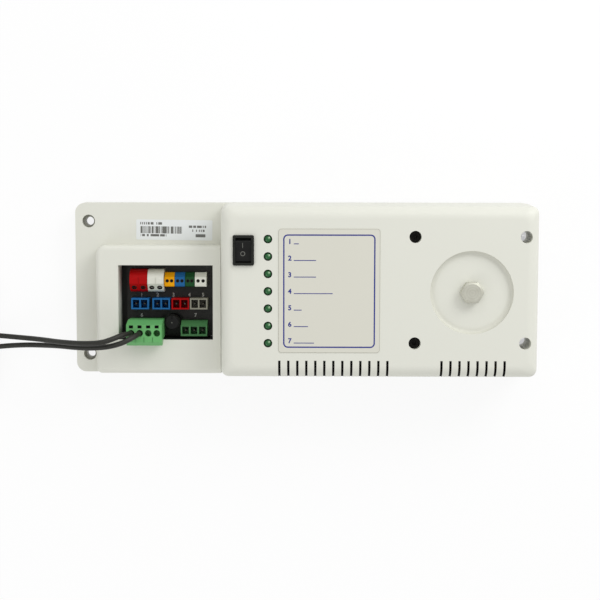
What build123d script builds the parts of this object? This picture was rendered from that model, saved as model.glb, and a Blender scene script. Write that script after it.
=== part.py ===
from build123d import *
import os
from math import cos, pi, radians, sin, sqrt, tan

# Control unit of an automatic door motor, lying on its back.
# +X runs along the unit to the cover's end, +Y to the upper edge, +Z out of the front.
# The origin is the middle of the back. All sizes are in millimetres.

# Overall housing
length = 300.4
width = 112.0
tray_height = 11.0
box_height = 23.0
cover_height = 46.0
draft_angle = 2.3
corner_radius = 6.8
cover_corner_radius = 5.0
cover_inner_radius = 3.0
cover_edge_radius = 8.0
wall = 2.5
deck = 3.0
parting_gap = 0.2
fit_gap = 0.15
lip_reach = 2.5
lip_root = 3.0
lip_thickness = 1.6
bite = 0.5
moving_gap = 0.3

# Connector box and its window, at the left of the tray
box_step = 14.4
box_over_window = 13.5
box_corner_radius = 6.0
box_lower_corner_radius = 3.6
box_edge_radius = 3.0
window_margin = 15.5
window_width = 61.3
window_height = 48.4
window_edge_low = 23.1
window_rim = 5.3
window_skirt = 2.0
window_skirt_end = 6.2

# Screw places of the housing
mount_edge_x = 9.2
mount_edge_y = 12.3
mount_hole = 5.5
mount_recess = 8.4
mount_recess_depth = 5.0
mount_boss = 13.0
well_edge_inner = 80.0
well_edge_outer = 10.2
well_edge_high = 21.0
well_edge_low = 23.8
well_bore = 7.7
well_wall = 2.2
cover_screw_floor = 37.0
mount_well_floor = 20.0
well_floor = 2.5
right_hole = 4.5
pillar_size = 9.0
pillar_thread = 14.0
cover_screw = 4.0
cover_screw_grip = 12.0
cover_screw_head = 7.2
cover_screw_head_height = 4.0
cover_screw_socket = 3.0
cover_screw_socket_depth = 2.0
web = 6.0
plate_thickness = 2.0
plate_post = 8.0
plate_screw = 3.0
plate_screw_end = 7.0
plate_post_edges = [(38.2, 15.0), (21.8, 82.0)]
plate_post_x_right = 14.0

# Front of the cover
recess_edge = 44.2
recess_bore = 52.6
recess_depth = 3.0
recess_fillet = 2.6
led_from_cover = 31.2
led_middle_y = 0.59
led_pitch = 10.97
led_count = 7
led_bore = 5.5
led_body = 5.0
led_rise = 0.4
slot_width = 1.3
slot_pitch = 5.7
slot_length = 12.4
slot_floor = 36.0
slots_left_from_cover = 38.4
slots_left_count = 13
slots_right_from_recess = 18.7
slots_right_count = 8
label_from_cover = 37.7
label_width = 64.2
label_edge_low = 17.6
label_edge_high = 15.9
label_thickness = 0.2
label_corner = 2.0
sticker_size = (49.8, 13.2)
sticker_from_cover = 31.2
sticker_share_below = 0.1739
sticker_turn = -0.7
sticker_thickness = 0.15
sticker_corner = 0.8

# Rocker switch
switch_from_cover = 15.8
switch_edge = 29.6
bezel_size = (13.4, 19.1)
bezel_height = 1.8
switch_body = (11.4, 17.0)
switch_depth = 16.0
switch_wall = 0.75
rocker_pivot_drop = 2.4
rocker_crown = 33.0
rocker_dip = 2.6
rocker_throw = 12.0
rocker_pin = 2.0
running_gap = 0.05
switch_blade = (0.8, 4.8, 7.0)
switch_blade_apart = 8.0

# Clamped ring transformer
bolt_size = 8.0
bolt_head_flats = 13.0
bolt_head_height = 5.3
bolt_chamfer_spread = 1.6
bolt_face_margin = 0.9
bolt_clearance = 0.4
washer_size = 12.8
washer_thickness = 0.8
nut_height = 6.5
transformer_size = 74.0
transformer_bore = 28.0
winding_round = 6.9
pad_thickness = 1.5
pad_size = 62.0
disc_thickness = 2.0
disc_size = 50.0

# Circuit boards
board_thickness = 1.6
main_board_z = 8.0
main_board_from_cover = 7.7
main_board_from_recess = 48.0
main_board_edge = 6.0
socket_board_z = 4.0
spacer_size = 6.0
board_screw = 2.5
board_screw_head = 5.0
board_screw_head_height = 1.8
led_board_reach = 7.5
led_board_spare = 9.9
led_height = 8.6
led_board_post = 6.0

# What stands on the main board, measured from its right end and its long edges
capacitor_size = (16.0, 25.0)
capacitor_round = 1.2
capacitor_inward = (62.0, 41.0)
capacitor_edge = 12.0
relay_size = (19.0, 15.4, 15.8)
relay_inward = 14.5
relay_edges = (17.0, 35.0)
heatsink_inward = (52.0, 12.0)
heatsink_edges = (20.0, 6.0)
heatsink_z = 34.0
heatsink_web = 3.0
fin_thickness = 1.4
fin_count = 7
transistor_along = (10.0, 28.0)
chip_below = 28.0
chip_share = 0.6048
chip_size = (13.6, 36.0, 3.8)
ribbon_size = (0.8, 20.0)
ribbon_gap = 1.2

# Connector panel and the rows of terminals on the socket board
panel_z = 6.5
panel_thickness = 1.5
panel_gap_left = 3.7
panel_gap_low = 1.0
panel_gap = 0.3
panel_foot = 2.2
pin_width = 0.9
row_gap = 0.15

# Cap, link and holder of the fuse
fuse_from_window = 34.4
fuse_above_window = 10.8
fuse_cap_size = 9.2
fuse_cap_top = 20.5
fuse_holder_size = 10.0
fuse_holder_top = 16.5
fuse_stem = 8.5
fuse_link_size = 8.0
fuse_link_height = 4.9
fuse_cutout = 16.0

# Four-way plug and its leads
plug_from_window = 6.4
plug_pitch = 5.5
plug_ways = 4
plug_end = 0.4
plug_front = 34.0
plug_hole = 4.3
plug_hole_depth = 8.0
plug_hole_above_window = 5.3
lead_size = 3.4
ferrule_size = 2.3
ferrule_length = 8.0
ferrule_collar_length = 6.0
coil_inner = 13.5
coil_pitch = 4.6
coil_layer = 4.0
coil_turns = 1.75
coil_climb = 0.5


def inset(z):
    """Distance that the draft has drawn a wall in at height z."""
    return z * tan(radians(draft_angle))


def rounded_face(x0, x1, y0, y1, z, radius):
    """Rounded rectangle between four sides, lying at height z."""
    plane = Plane(((x0 + x1) / 2, (y0 + y1) / 2, z))
    return plane * RectangleRounded(x1 - x0, y1 - y0, radius)


def slab(x0, x1, y0, y1, z0, z1):
    """Plain block between six sides."""
    size = (x1 - x0, y1 - y0, z1 - z0)
    middle = ((x0 + x1) / 2, (y0 + y1) / 2, (z0 + z1) / 2)
    return Pos(*middle) * Box(*size)


def round_bar(x, y, z0, z1, size):
    """Upright cylinder of a given diameter."""
    return Pos(x, y, (z0 + z1) / 2) * Cylinder(size / 2, z1 - z0)


def hexagon(flats):
    """Hexagon of a given width over its flats, with a corner pointing along X."""
    return RegularPolygon(flats / 2, 6, major_radius=False)


def joined(pieces):
    """Several solids fused or grouped into one shape."""
    pieces = list(pieces)
    return pieces[0] if len(pieces) == 1 else pieces[0] + pieces[1:]


def side_profile(points, x0, x1):
    """Block between x0 and x1 whose outline is given as (y, z) points."""
    outline = Plane.YZ.offset(x0) * make_face(Polyline(*points, close=True))
    return extrude(outline, x1 - x0)


# Shared places worked out from the sizes above
half_length = length / 2
half_width = width / 2
shoulder = cover_height - cover_edge_radius
box_left = half_length - box_step
window_left = box_left - window_margin
window_right = window_left - window_width
window_low = half_width - window_edge_low
window_high = window_height - window_low
box_top = window_high + box_over_window
cover_left = window_right - window_rim
mount_x_left = half_length - mount_edge_x
mount_y_left = half_width - mount_edge_y
well_x_inner = half_length - well_edge_inner
well_x_outer = half_length - well_edge_outer
well_y_high = half_width - well_edge_high
well_y_low = half_width - well_edge_low
recess_x = half_length - recess_edge
led_x = cover_left - led_from_cover
led_first_y = led_middle_y + led_pitch * (led_count - 1) / 2
slot_top = half_width - slot_length
slot_groups = [(slots_left_from_cover - cover_left, slots_left_count),
               (recess_x - slots_right_from_recess, slots_right_count)]
label_left = cover_left - label_from_cover
label_right = label_width - label_left
label_low = half_width - label_edge_low
label_high = half_width - label_edge_high
sticker_room = half_width - box_top - sticker_size[1]
sticker_centre = (-cover_left - sticker_from_cover,
                  box_top + sticker_share_below * sticker_room + sticker_size[1] / 2)
switch_x = cover_left - switch_from_cover
switch_y = half_width - switch_edge
main_board_left = cover_left - main_board_from_cover
main_board_right = recess_x - main_board_from_recess
main_board_half = half_width - main_board_edge
led_board_left = led_x + led_board_reach
led_board_right = led_x - led_board_reach
led_board_half = led_first_y + led_board_spare
panel_left = window_left - panel_gap_left
panel_right = window_right + panel_gap
panel_low = window_low - panel_gap_low
panel_high = window_high - panel_gap
fuse_x = window_left - fuse_from_window
fuse_y = window_low - fuse_above_window
plug_left = window_left - plug_from_window
plug_hole_y = window_low - plug_hole_above_window
plate_posts_left = [(x - half_length, half_width - y) for x, y in plate_post_edges]
led_places = [(-led_x, led_first_y - led_pitch * i) for i in range(led_count)]
cover_screw_places = [(well_x_inner, well_y_high), (well_x_inner, -well_y_low)]
mount_well_places = [(well_x_outer, well_y_high), (well_x_outer, -well_y_low)]
left_mount_places = [(-mount_x_left, mount_y_left), (-mount_x_left, -mount_y_left)]
well_tube = well_bore + 2 * well_wall
face_underside = cover_height - wall
recess_floor = cover_height - recess_depth
recess_underside = recess_floor - wall
led_board_z = cover_height + led_rise - led_height - board_thickness
socket_board_top = socket_board_z + board_thickness
main_board_top = main_board_z + board_thickness
panel_top = panel_z + panel_thickness
pillar_top = cover_screw_floor - well_floor
plate_post_y = half_width - wall - plate_post / 2 + bite
plate_posts_right = [(plate_post_x_right, plate_post_y), (plate_post_x_right, -plate_post_y)]


def tray_outline(z, shrink=0.0):
    edge = inset(z) + shrink
    x1, y1 = half_length - edge, half_width - edge
    return rounded_face(-x1, x1, -y1, y1, z, max(corner_radius - edge, 1.0))


def cover_outline(z, shrink=0.0, radius=cover_corner_radius):
    edge = inset(z) + shrink
    left = -cover_left + inset(z - tray_height) + shrink
    return rounded_face(left, half_length - edge, -half_width + edge, half_width - edge, z, radius)


def box_outline(z, shrink=0.0):
    """Connector box: large corner above, small one below, square beside the cover."""
    edge = inset(z) + shrink
    x0, x1 = -box_left + edge, -cover_left - parting_gap - shrink
    y0, y1 = -half_width + edge, box_top - edge
    sheet = Plane(((x0 + x1) / 2, (y0 + y1) / 2, z)) * Rectangle(x1 - x0, y1 - y0)
    corners = sheet.vertices().filter_by(lambda v: v.X < (x0 + x1) / 2).sort_by(Axis.Y)
    sheet = fillet(corners[0], max(box_lower_corner_radius - shrink, 0.8))
    corners = sheet.vertices().filter_by(lambda v: v.Y > y1 - 0.01).sort_by(Axis.X)
    return fillet(corners[0], max(box_corner_radius - shrink, 0.8))


def base_housing():
    """Moulded tray whose left end is the screw flange and the connector box."""
    body = loft([tray_outline(0), tray_outline(tray_height)], ruled=True)
    box = loft([box_outline(tray_height - deck), box_outline(box_height)], ruled=True)
    rim = box.faces().sort_by(Axis.Z)[-1].edges().sort_by(Axis.X)[:-1]
    box = fillet(rim, box_edge_radius)
    body += box
    left_hollow = loft([tray_outline(0, wall), tray_outline(tray_height - deck, wall)], ruled=True)
    deck_end = -cover_left + 2 * wall
    open_hollow = loft([tray_outline(0, wall), tray_outline(tray_height, wall)], ruled=True)
    open_hollow &= slab(deck_end, half_length, -half_width, half_width, -1, tray_height + 1)
    box_hollow = loft([box_outline(0, wall), box_outline(box_height - wall, wall)], ruled=True)
    body = body - left_hollow - open_hollow - box_hollow
    skirt = slab(-window_left - window_skirt, -window_right + window_skirt, -window_low - window_skirt,
                 window_high + window_skirt, window_skirt_end, box_height - wall / 2)
    body += skirt
    body -= slab(-window_left, -window_right, -window_low, window_high, 0, box_height + 1)
    for x, y in left_mount_places:
        body += round_bar(x, y, plate_thickness, tray_height - deck / 2, mount_boss)
        body -= round_bar(x, y, 0, tray_height + 1, mount_hole)
        body -= round_bar(x, y, tray_height - mount_recess_depth, tray_height + 1, mount_recess)
    for x, y in mount_well_places:
        post = round_bar(x, y, plate_thickness, tray_height, well_tube)
        post += slab(x, half_length - wall / 2 - inset(tray_height), y - web / 2, y + web / 2,
                     plate_thickness, tray_height)
        body = body + post - round_bar(x, y, 0, tray_height + 1, right_hole)
    for x, y in plate_posts_left:
        top = tray_height - deck / 2 if y > 0 else box_height - wall / 2
        body += round_bar(x, y, plate_thickness, top, plate_post)
    for x, y in plate_posts_right:
        body += round_bar(x, y, plate_thickness, main_board_z - moving_gap, plate_post)
    for x, y in plate_posts_left + plate_posts_right:
        body -= round_bar(x, y, 0, plate_screw_end, plate_screw)
    return body


def rear_plate():
    """Sheet steel back that closes the tray and carries the boards and the transformer."""
    edge = wall + moving_gap + inset(plate_thickness)
    plate = extrude(rounded_face(-half_length + edge, half_length - edge, -half_width + edge,
                                 half_width - edge, 0, corner_radius - wall), plate_thickness)
    for x, y in left_mount_places:
        plate -= round_bar(x, y, -1, plate_thickness + 1, mount_hole)
    for x, y in mount_well_places:
        plate -= round_bar(x, y, -1, plate_thickness + 1, right_hole)
    for x, y in plate_posts_left + plate_posts_right:
        plate -= Pos(x, y, plate_thickness / 2) * Cone(plate_screw, plate_screw / 2, plate_thickness)
    return plate


def plate_screws():
    """Countersunk screws, heads flush with the back, that hold the plate to the tray."""
    screws = []
    for x, y in plate_posts_left + plate_posts_right:
        head = Pos(x, y, plate_thickness / 2) * Cone(plate_screw, plate_screw / 2, plate_thickness)
        screws.append(head + round_bar(x, y, plate_thickness, plate_screw_end, plate_screw))
    return screws


def edge_sections(shrink, radius):
    """Sections through the cover's rolled front edge, from its shoulder to its face."""
    sections = []
    steps = 5
    reach = cover_edge_radius - shrink
    for i in range(steps + 1):
        angle = pi / 2 * i / steps
        z = shoulder + reach * sin(angle)
        rolled = shrink + reach * (1 - cos(angle))
        drawn = rolled + inset(shoulder)
        x0 = -cover_left + inset(shoulder - tray_height) + rolled
        x1, y1 = half_length - drawn, half_width - drawn
        sections.append(rounded_face(x0, x1, -y1, y1, z, radius))
    return sections


def cover_shell():
    outer = loft([cover_outline(tray_height), cover_outline(shoulder)], ruled=True)
    outer += loft(edge_sections(0.0, cover_corner_radius))
    inner = loft([cover_outline(tray_height - 1, wall, cover_inner_radius),
                  cover_outline(shoulder, wall, cover_inner_radius)], ruled=True)
    inner += loft(edge_sections(wall, cover_inner_radius))
    return outer - inner


def cover_lip():
    """Tongue on three sides that centres the cover inside the tray."""
    low, high = tray_height - lip_reach, tray_height + lip_root
    outer = loft([tray_outline(low, wall + fit_gap), tray_outline(tray_height, wall + fit_gap)], ruled=True)
    outer += loft([cover_outline(tray_height, wall / 2), cover_outline(high, wall / 2)], ruled=True)
    within = wall + fit_gap + lip_thickness
    inner = loft([tray_outline(low - 1, within), tray_outline(high + 1, within)], ruled=True)
    keep = slab(-cover_left + 3 * wall, half_length, -half_width, half_width, low, high)
    lip = (outer - inner) & keep
    for x, y in mount_well_places:
        half = well_tube / 2 + moving_gap
        lip -= slab(x - half, half_length, y - half, y + half, low - 1, tray_height)
    return lip


def vent_slots():
    cuts = []
    end_y = -slot_top - slot_width / 2
    for start, count in slot_groups:
        for i in range(count):
            x = start + slot_pitch * i
            cuts.append(slab(x - slot_width / 2, x + slot_width / 2, -half_width - 1, end_y,
                             slot_floor, cover_height + 1))
            cuts.append(round_bar(x, end_y, face_underside - 1, cover_height + 1, slot_width))
    return cuts


def front_cover():
    """Moulded cover with recess, wells, lamp holes, switch cut-out and vents."""
    cover = cover_shell() + cover_lip()
    cover += round_bar(recess_x, 0, recess_underside, face_underside + bite, recess_bore + 2 * wall)
    for x, y in cover_screw_places:
        cover += round_bar(x, y, pillar_top, face_underside + bite, well_tube)
    for x, y in mount_well_places:
        tube = round_bar(x, y, tray_height, face_underside + bite, well_tube)
        tube += slab(x, half_length - wall / 2 - inset(shoulder), y - web / 2, y + web / 2,
                     tray_height, shoulder)
        cover += tube
    for y in (led_board_half - led_board_post / 2, -led_board_half + led_board_post / 2):
        cover += round_bar(-led_x, y, led_board_z + board_thickness, face_underside + bite, led_board_post)
    for x, y in cover_screw_places:
        cover -= round_bar(x, y, cover_screw_floor, cover_height + 1, well_bore)
        cover -= round_bar(x, y, pillar_top - 1, cover_screw_floor + 1, right_hole)
    for x, y in mount_well_places:
        cover -= round_bar(x, y, mount_well_floor, cover_height + 1, well_bore)
        cover -= round_bar(x, y, tray_height - 1, mount_well_floor + 1, right_hole)
    dish = round_bar(recess_x, 0, recess_floor, cover_height + 1, recess_bore)
    dish = fillet(dish.edges().group_by(Axis.Z)[0], recess_fillet)
    cover -= dish
    cover -= round_bar(recess_x, 0, recess_underside - 1, cover_height, bolt_size + bolt_clearance)
    for x, y in led_places:
        cover -= round_bar(x, y, face_underside - 1, cover_height + 1, led_bore)
    cut_x, cut_y = switch_body[0] / 2 + fit_gap, switch_body[1] / 2 + fit_gap
    cover -= slab(-switch_x - cut_x, -switch_x + cut_x, switch_y - cut_y, switch_y + cut_y,
                  face_underside - 1, cover_height + 1)
    return cover - vent_slots()


def front_label():
    """Printed overlay beside the lamps."""
    sheet = rounded_face(-label_left, label_right, -label_low, label_high, cover_height, label_corner)
    return extrude(sheet, label_thickness)


def rating_sticker():
    """Silver sticker on the flange, set a little askew."""
    place = Pos(sticker_centre[0], sticker_centre[1], tray_height) * Rot(0, 0, sticker_turn)
    return extrude(place * RectangleRounded(*sticker_size, sticker_corner), sticker_thickness)


def cover_pillars():
    """Round spacers on the rear plate that the cover's two screws pull on."""
    return [
        round_bar(x, y, plate_thickness, pillar_top, pillar_size)
        - round_bar(x, y, pillar_top - pillar_thread, pillar_top + 1, cover_screw)
        for x, y in cover_screw_places
    ]


def cover_screws():
    """Cylinder-head screws at the bottom of the cover's two inner wells."""
    screws = []
    head_top = cover_screw_floor + cover_screw_head_height
    for x, y in cover_screw_places:
        head = round_bar(x, y, cover_screw_floor, head_top, cover_screw_head)
        socket = Pos(x, y, head_top - cover_screw_socket_depth) * hexagon(cover_screw_socket)
        head -= extrude(socket, cover_screw_socket_depth + 1)
        screws.append(head + round_bar(x, y, pillar_top - cover_screw_grip, cover_screw_floor, cover_screw))
    return screws


# Transformer stack, from the plate up to the recess
stack_low = plate_thickness
ring_low = stack_low + pad_thickness
ring_high = recess_underside - disc_thickness - pad_thickness


def flat_ring(z0, z1, outer, inner):
    return round_bar(recess_x, 0, z0, z1, outer) - round_bar(recess_x, 0, z0 - 1, z1 + 1, inner)


def transformer_ring():
    """Taped ring transformer with the swelling sides of its winding."""
    radius_in, radius_out = transformer_bore / 2, transformer_size / 2
    sheet = Plane.XZ * Pos((radius_in + radius_out) / 2, (ring_low + ring_high) / 2) * RectangleRounded(
        radius_out - radius_in, ring_high - ring_low, winding_round)
    return Pos(recess_x, 0, 0) * revolve(sheet, Axis.Z)


def transformer_pads():
    return [
        flat_ring(stack_low, ring_low, pad_size, transformer_bore),
        flat_ring(ring_high, ring_high + pad_thickness, pad_size, transformer_bore),
    ]


def pressure_disc():
    return flat_ring(ring_high + pad_thickness, recess_underside, disc_size, bolt_size + bolt_clearance)


def bolt_washer():
    return flat_ring(recess_floor, recess_floor + washer_thickness, washer_size, bolt_size + bolt_clearance)


def clamp_bolt():
    """Hexagon bolt with its head in the recess and a corner pointing along X."""
    low = recess_floor + washer_thickness
    head = extrude(Pos(recess_x, 0, low) * hexagon(bolt_head_flats), bolt_head_height)
    top_radius = bolt_head_flats / 2 - bolt_face_margin
    cone = Pos(recess_x, 0, low + bolt_head_height / 2) * Cone(
        top_radius + bolt_head_height * bolt_chamfer_spread, top_radius, bolt_head_height)
    return (head & cone) + round_bar(recess_x, 0, plate_thickness + bite, low, bolt_size)


def clamp_nut():
    """Nut pressed into the rear plate's inner side, in the middle of the ring."""
    nut = extrude(Pos(recess_x, 0, plate_thickness) * hexagon(bolt_head_flats), nut_height)
    return nut - round_bar(recess_x, 0, plate_thickness - 1, plate_thickness + nut_height + 1, bolt_size)


# Switch
def switch_housing():
    """Snap-in body of the rocker switch with its bezel."""
    top = cover_height + bezel_height
    body = slab(-switch_body[0] / 2, switch_body[0] / 2, -switch_body[1] / 2, switch_body[1] / 2,
                cover_height - switch_depth, cover_height)
    rim = extrude(Pos(0, 0, cover_height) * RectangleRounded(*bezel_size, 1.0), bezel_height)
    rim = chamfer(rim.edges().group_by(Axis.Z)[-1], 0.5)
    pocket = slab(-switch_body[0] / 2 + switch_wall, switch_body[0] / 2 - switch_wall,
                  -switch_body[1] / 2 + switch_wall, switch_body[1] / 2 - switch_wall,
                  cover_height - switch_depth / 2, top + 1)
    pivot = Pos(0, 0, cover_height - rocker_pivot_drop) * Rot(0, 90, 0) * Cylinder(
        rocker_pin / 2 + running_gap, switch_body[0])
    return Pos(-switch_x, switch_y, 0) * (body + rim - pocket - pivot)


def switch_rocker():
    """Rocker with a shallow V top and ends round its pivot, resting at off."""
    reach = switch_body[1] / 2 - switch_wall - fit_gap
    half = switch_body[0] / 2 - switch_wall - fit_gap
    crown_y, crown_z = reach * cos(radians(rocker_crown)), reach * sin(radians(rocker_crown))
    mid_y, mid_z = reach * cos(radians(rocker_crown / 2)), reach * sin(radians(rocker_crown / 2))
    low_y, low_z = reach * 0.45, -reach * 0.45
    outline = [
        ThreePointArc((reach, 0), (mid_y, mid_z), (crown_y, crown_z)),
        Polyline((crown_y, crown_z), (0, rocker_dip), (-crown_y, crown_z)),
        ThreePointArc((-crown_y, crown_z), (-mid_y, mid_z), (-reach, 0)),
        Polyline((-reach, 0), (-low_y, low_z), (low_y, low_z), (reach, 0)),
    ]
    paddle = extrude(Plane.YZ.offset(-half) * make_face(outline), 2 * half)
    paddle = fillet(paddle.edges().filter_by(Axis.X).group_by(Axis.Z)[-1], 0.4)
    pins = Rot(0, 90, 0) * Cylinder(rocker_pin / 2, switch_body[0])
    pivot = Pos(-switch_x, switch_y, cover_height - rocker_pivot_drop)
    return pivot * Rot(rocker_throw, 0, 0) * (paddle + pins)


def switch_blades():
    top = cover_height - switch_depth
    thick, broad, tall = switch_blade
    return [slab(-switch_x - broad / 2, -switch_x + broad / 2, y - thick / 2, y + thick / 2, top - tall, top)
            for y in (switch_y - switch_blade_apart / 2, switch_y + switch_blade_apart / 2)]


# Boards and what stands on them
def board(x0, x1, y0, y1, z):
    """Circuit board between four sides with small round corners."""
    return extrude(rounded_face(x0, x1, y0, y1, z, 1.5), board_thickness)


spacer_edge = 4.0
main_spacer_places = [
    (x, y)
    for x in (spacer_edge - main_board_left, main_board_right - spacer_edge)
    for y in (main_board_half - spacer_edge, spacer_edge - main_board_half)
]
socket_spacer_places = [(-panel_left + 3.5, window_high - 1), (-window_right - 2, window_high - 1),
                        (-window_right - 2, -panel_low + 1.5), (-panel_left + 3.5, -panel_low + 11)]


def main_board():
    sheet = board(-main_board_left, main_board_right, -main_board_half, main_board_half, main_board_z)
    for x, y in main_spacer_places:
        sheet -= round_bar(x, y, main_board_z - 1, main_board_top + 1, board_screw)
    return sheet


def socket_board():
    return board(-panel_left + 0.4, -window_right + 2.5, -panel_low + 0.2, window_high + 2, socket_board_z)


def led_board():
    return board(-led_board_left, -led_board_right, -led_board_half, led_board_half, led_board_z)


def board_spacers():
    high = [
        round_bar(x, y, plate_thickness, main_board_z, spacer_size)
        - round_bar(x, y, plate_thickness - 1, main_board_z + 1, board_screw)
        for x, y in main_spacer_places
    ]
    low = [round_bar(x, y, plate_thickness, socket_board_z, spacer_size - 1) for x, y in socket_spacer_places]
    return high + low


def board_screws():
    screws = []
    for x, y in main_spacer_places:
        head = round_bar(x, y, main_board_top, main_board_top + board_screw_head_height, board_screw_head)
        head -= slab(x - 0.4, x + 0.4, y - 3, y + 3, main_board_top + 1, main_board_top + 3)
        screws.append(head + round_bar(x, y, plate_thickness, main_board_top, board_screw))
    return screws


def status_leds():
    """Seven lamps on the board behind the face, each with its flange and dome."""
    low = led_board_z + board_thickness
    dome = led_body / 2
    leds = []
    for x, y in led_places:
        body = round_bar(x, y, low, low + 1.0, led_body + 0.8)
        body += round_bar(x, y, low + 1.0, low + led_height - dome, led_body)
        body += Pos(x, y, low + led_height - dome) * Sphere(dome)
        leds.append(body)
    return leds


ribbon_x = -led_board_right - ribbon_gap - ribbon_size[0] / 2


def led_ribbon():
    """Flat strip of conductors between the lamp board and the main board."""
    tall = led_board_z - main_board_top
    return Pos(ribbon_x, 0, main_board_top + tall / 2) * Box(*ribbon_size, tall)


capacitor_y = capacitor_edge - main_board_half
capacitor_places = [(main_board_right - inward, capacitor_y) for inward in capacitor_inward]


def capacitors():
    cans = []
    for x, y in capacitor_places:
        can = round_bar(x, y, main_board_top, main_board_top + capacitor_size[1], capacitor_size[0])
        can = fillet(can.edges().group_by(Axis.Z)[-1], capacitor_round)
        groove = round_bar(x, y, main_board_top + 2.0, main_board_top + 3.2, capacitor_size[0] + 1)
        groove -= round_bar(x, y, main_board_top, main_board_top + 5, capacitor_size[0] - 1.2)
        cans.append(can - groove)
    return cans


relay_places = [(main_board_right - relay_inward, edge - main_board_half) for edge in relay_edges]


def relays():
    broad, deep, tall = relay_size
    return [Pos(x, y, main_board_top + tall / 2) * Box(broad, deep, tall) for x, y in relay_places]


heatsink_x = [main_board_right - inward for inward in heatsink_inward]
heatsink_y = [main_board_half - edge for edge in heatsink_edges]
relay_side = main_board_right - relay_inward - relay_size[0] / 2
chip_place = (ribbon_x + chip_share * (relay_side - ribbon_x), heatsink_y[0] - chip_below)


def heatsink():
    """Upright aluminium section with a back web and fins."""
    sink = slab(*heatsink_x, heatsink_y[0], heatsink_y[0] + heatsink_web, main_board_top, heatsink_z)
    pitch = (heatsink_x[1] - heatsink_x[0] - fin_thickness) / (fin_count - 1)
    for i in range(fin_count):
        x = heatsink_x[0] + pitch * i
        sink += slab(x, x + fin_thickness, *heatsink_y, main_board_top, heatsink_z)
    return sink


def power_transistors():
    """Two flat-tab transistors that give their heat to the section behind them."""
    parts = []
    for along in transistor_along:
        x, y, foot = heatsink_x[0] + along, heatsink_y[0], main_board_top + 4
        tab = slab(x - 5, x + 5, y - 1.3, y, foot, foot + 15.5)
        tab -= Pos(x, y - 1, foot + 12.5) * Rot(90, 0, 0) * Cylinder(1.7, 6)
        case = slab(x - 5, x + 5, y - 4.5, y - 1.3, foot, foot + 9)
        leg = Pos(x, y - 2.7, (main_board_top + foot) / 2) * Box(0.8, 0.6, foot - main_board_top)
        legs = [Pos(side * 2.54, 0, 0) * leg for side in (-1, 0, 1)]
        parts.append(joined([tab, case] + legs))
    return parts


def controller_chip():
    """Dual in-line controller with its two rows of legs."""
    body = Pos(0, 0, main_board_top + 0.8 + chip_size[2] / 2) * Box(*chip_size)
    legs = []
    for i in range(14):
        y = 2.54 * (i - 6.5)
        for side in (-1, 1):
            x = side * (chip_size[0] / 2 + 0.5)
            shoulder_x = sorted((x, x - side * 0.8))
            legs.append(slab(*shoulder_x, y - 0.4, y + 0.4, main_board_top + 2, main_board_top + 2.5))
            legs.append(slab(x - 0.25, x + 0.25, y - 0.4, y + 0.4, main_board_top, main_board_top + 2.5))
    return Pos(*chip_place, 0) * joined([body] + legs)


# Terminals and sockets seen in the window: their sides, measured from the window's left side
large_terminals = {"terminal_red": (6.8, 18.3), "terminal_white": (18.5, 28.9)}
small_terminals = {
    "terminal_yellow": (29.2, 35.7),
    "terminal_blue": (36.0, 42.5),
    "terminal_green": (42.8, 48.8),
    "terminal_small_white": (49.1, 56.6),
}
pair_sockets = {
    "socket_blue_outer": 13.4,
    "socket_blue_inner": 27.2,
    "socket_red": 39.7,
    "socket_grey": 51.7,
}
large_y = (window_high - 17.8, window_high - 3.1)
small_y = (window_high - 14.4, window_high - 5.3)
pair_size = (11.4, 7.2)
pair_y = window_high - 25.5
pair_top = 18.0
pair_pitch = 5.5
three_way = (39.9 - window_left, 57.1 - window_left)
three_way_y = (1.7 - window_low, 11.7 - window_low)
three_way_top = 18.0
three_way_pitch = 5.5
three_way_pit = (4.4, 5.0)
three_way_pit_y = three_way_y[0] + 3.8
three_way_ways_x = [(three_way[0] + three_way[1]) / 2 + three_way_pitch * i for i in (-1, 0, 1)]
plug_right = -plug_left + plug_pitch * plug_ways + 2 * plug_end
plug_ways_x = [-plug_left + plug_end + plug_pitch * (i + 0.5) for i in range(plug_ways)]
header_wall = 1.0
header_y = (1.3 - window_low, 12.9 - window_low)
header_top = 14.0


def large_terminal(x0, x1):
    """Screwless two-way terminal with a rolled back and a slanted wire face."""
    low_y, high_y = large_y
    top, front = 19.5, 13.5
    back_y = high_y - 6.0
    outline = [
        Polyline((high_y, 12.0), (high_y, socket_board_top), (low_y, socket_board_top), (low_y, front),
                 (low_y + 1.2, front + 2.4), (low_y + 5.5, top), (back_y, top)),
        ThreePointArc((back_y, top), (high_y - 1.8, 17.0), (high_y, 12.0)),
    ]
    body = extrude(Plane.YZ.offset(x0) * make_face(outline), x1 - x0)
    pitch = (x1 - x0) / 2
    for i in range(2):
        x = x0 + pitch * (i + 0.5)
        body -= Pos(x, low_y + 3.3, 17.0) * Rot(50, 0, 0) * Cylinder(1.35, 7)
    groove = (x0 + x1) / 2
    return body - slab(groove - 0.15, groove + 0.15, low_y - 1, high_y + 1, top - 0.5, top + 1)


def small_terminal(x0, x1):
    """Small two-way terminal with a chamfered back and two entry holes."""
    low_y, high_y = small_y
    points = [(low_y, socket_board_top), (low_y, 15.2), (low_y + 0.6, 15.8), (high_y - 2.8, 15.8),
              (high_y, 12.4), (high_y, socket_board_top)]
    body = side_profile(points, x0, x1)
    for side in (-1, 1):
        body -= round_bar((x0 + x1) / 2 + side * (x1 - x0) * 0.22, low_y + 3.8, 10.0, 17.0, 1.7)
    return body


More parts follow.
